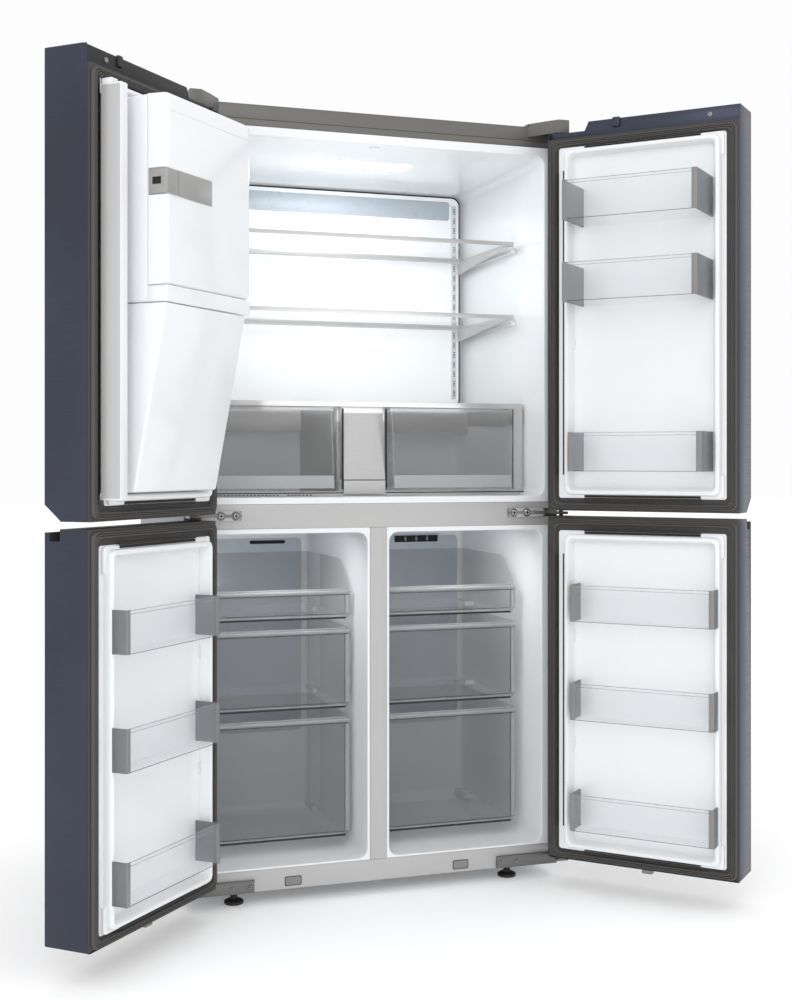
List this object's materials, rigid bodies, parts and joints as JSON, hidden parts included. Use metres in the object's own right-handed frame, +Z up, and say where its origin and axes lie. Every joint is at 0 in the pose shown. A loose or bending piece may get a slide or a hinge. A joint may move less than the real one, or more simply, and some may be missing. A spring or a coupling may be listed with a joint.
{
  "type": "french door refrigerator",
  "caption": "French door refrigerator with hinged upper and lower doors, shelves, crispers, freezer drawers, door bins and an ice compartment in the door.",
  "frame": {"origin": "on the floor, at the centre of the refrigerator's footprint with its doors open", "axes": "+Z up, +Y towards the back, +X to the right seen from the front"},
  "size_m": [1.5658, 1.0837, 1.811],
  "materials": {
    "coated_steel": "satin",
    "galvanised_steel": "satin",
    "white_hips": "gloss",
    "rigid_foam": "matte",
    "painted_rail": "satin",
    "brushed_door_steel": "satin",
    "dark_abs": "matte",
    "gasket_pvc": "matte",
    "tempered_glass": "gloss",
    "satin_trim": "satin",
    "clear_styrene": "gloss",
    "smoky_styrene": "gloss",
    "hinge_steel": "satin",
    "black_steel": "satin",
    "condenser_steel": "satin",
    "fin_aluminium": "satin",
    "fan_abs": "matte",
    "foot_plastic": "matte",
    "light_diffuser": "satin",
    "dispenser_black": "gloss",
    "cover_white": "satin"
  },
  "bodies": {
    "cabinet": {"cabinet_wrapper": "coated_steel", "upper_liner": "white_hips", "lower_left_liner": "white_hips", "lower_right_liner": "white_hips", "cabinet_insulation": "rigid_foam", "front_rails": "painted_rail", "divider_cover": "painted_rail", "cabinet_back": "galvanised_steel", "machine_cover": "galvanised_steel", "base_plate": "galvanised_steel", "levelling_feet": "foot_plastic", "compressor": "black_steel", "condenser": "condenser_steel", "drain_pan": "foot_plastic", "evaporator": "fin_aluminium", "duct_panels": "cover_white", "ceiling_light": "light_diffuser", "shelf_glass": "tempered_glass", "shelf_frames": "satin_trim", "crisper_cover": "tempered_glass", "crisper_frame": "satin_trim", "filter_cover": "satin_trim", "door_hinges": "hinge_steel", "hinge_covers": "painted_rail"},
    "lower_left_door": {"lower_left_door_skin": "brushed_door_steel", "lower_left_door_core": "dark_abs", "lower_left_door_liner": "white_hips", "lower_left_door_gasket": "gasket_pvc", "lower_left_bins": "clear_styrene"},
    "upper_left_door": {"upper_left_door_skin": "brushed_door_steel", "upper_left_door_core": "dark_abs", "upper_left_door_liner": "white_hips", "upper_left_door_gasket": "gasket_pvc", "ice_housing": "white_hips", "ice_chute": "white_hips", "dispenser": "dispenser_black"},
    "lower_right_door": {"lower_right_door_skin": "brushed_door_steel", "lower_right_door_core": "dark_abs", "lower_right_door_liner": "white_hips", "lower_right_door_gasket": "gasket_pvc", "lower_right_bins": "clear_styrene"},
    "upper_right_door": {"upper_right_door_skin": "brushed_door_steel", "upper_right_door_core": "dark_abs", "upper_right_door_liner": "white_hips", "upper_right_door_gasket": "gasket_pvc", "upper_right_bins": "clear_styrene"},
    "ice_door": {"ice_door": "white_hips"},
    "ice_latch": {"ice_latch": "satin_trim"},
    "flip_mullion": {"flip_mullion": "cover_white"},
    "dispenser_paddle": {"dispenser_paddle": "dispenser_black"},
    "condenser_fan": {"condenser_fan": "fan_abs"},
    "rear_rollers": {"rear_rollers": "hinge_steel"},
    "left_crisper": {"left_crisper": "clear_styrene"},
    "right_crisper": {"right_crisper": "clear_styrene"},
    "left_bottom_drawer": {"left_bottom_drawer": "smoky_styrene"},
    "left_middle_drawer": {"left_middle_drawer": "smoky_styrene"},
    "left_top_drawer": {"left_top_drawer": "smoky_styrene"},
    "right_bottom_drawer": {"right_bottom_drawer": "smoky_styrene"},
    "right_middle_drawer": {"right_middle_drawer": "smoky_styrene"},
    "right_top_drawer": {"right_top_drawer": "smoky_styrene"}
  },
  "joints": [
    {"name": "upper_left_door_hinge", "type": "hinge", "parent": "cabinet", "child": "upper_left_door", "pos_m": [-0.4395, -0.1469, 1.3], "axis": [0, 0, -1], "range_deg": [-133.08, 0]},
    {"name": "lower_left_door_hinge", "type": "hinge", "parent": "cabinet", "child": "lower_left_door", "pos_m": [-0.4395, -0.1469, 0.47], "axis": [0, 0, -1], "range_deg": [-133.08, 0]},
    {"name": "upper_right_door_hinge", "type": "hinge", "parent": "cabinet", "child": "upper_right_door", "pos_m": [0.4395, -0.1469, 1.3], "axis": [0, 0, 1], "range_deg": [-133.08, 0]},
    {"name": "lower_right_door_hinge", "type": "hinge", "parent": "cabinet", "child": "lower_right_door", "pos_m": [0.4395, -0.1469, 0.47], "axis": [0, 0, 1], "range_deg": [-133.08, 0]},
    {"name": "flip_mullion_fold", "type": "hinge", "parent": "upper_left_door", "child": "flip_mullion", "pos_m": [-0.68493, -0.489, 1.325], "axis": [0, 0, 1], "range_deg": [-90, 0]},
    {"name": "ice_door_hinge", "type": "hinge", "parent": "upper_left_door", "child": "ice_door", "pos_m": [-0.38182, -0.27614, 1.522], "axis": [0, 0, 1], "range_deg": [0, 90]},
    {"name": "ice_latch_press", "type": "slide", "parent": "ice_door", "child": "ice_latch", "axis": [0.683, 0.7304, 0], "range_m": [0, 0.003], "stiffness_N_per_m": 400},
    {"name": "dispenser_paddle_press", "type": "hinge", "parent": "upper_left_door", "child": "dispenser_paddle", "pos_m": [-0.59253, -0.29063, 1.4], "axis": [-0.683, -0.7304, 0], "range_deg": [0, 4], "stiffness_Nm_per_rad": 2},
    {"name": "left_bottom_drawer_slide", "type": "slide", "parent": "cabinet", "child": "left_bottom_drawer", "axis": [0, -1, 0], "range_m": [0, 0.34]},
    {"name": "left_middle_drawer_slide", "type": "slide", "parent": "cabinet", "child": "left_middle_drawer", "axis": [0, -1, 0], "range_m": [0, 0.34]},
    {"name": "left_top_drawer_slide", "type": "slide", "parent": "cabinet", "child": "left_top_drawer", "axis": [0, -1, 0], "range_m": [0, 0.34]},
    {"name": "right_bottom_drawer_slide", "type": "slide", "parent": "cabinet", "child": "right_bottom_drawer", "axis": [0, -1, 0], "range_m": [0, 0.34]},
    {"name": "right_middle_drawer_slide", "type": "slide", "parent": "cabinet", "child": "right_middle_drawer", "axis": [0, -1, 0], "range_m": [0, 0.34]},
    {"name": "right_top_drawer_slide", "type": "slide", "parent": "cabinet", "child": "right_top_drawer", "axis": [0, -1, 0], "range_m": [0, 0.34]},
    {"name": "left_crisper_slide", "type": "slide", "parent": "cabinet", "child": "left_crisper", "axis": [0, -1, 0], "range_m": [0, 0.3]},
    {"name": "right_crisper_slide", "type": "slide", "parent": "cabinet", "child": "right_crisper", "axis": [0, -1, 0], "range_m": [0, 0.3]},
    {"name": "condenser_fan_spin", "type": "hinge", "parent": "cabinet", "child": "condenser_fan", "pos_m": [-0.085, 0.4845, 0.11], "axis": [1, 0, 0], "continuous": true},
    {"name": "rear_rollers_roll", "type": "hinge", "parent": "cabinet", "child": "rear_rollers", "pos_m": [0, 0.4975, 0.023], "axis": [1, 0, 0], "continuous": true}
  ],
  "couplings": [
    {"joint": "flip_mullion_fold", "follows": "upper_left_door_hinge", "ratio": 0.6762}
  ]
}
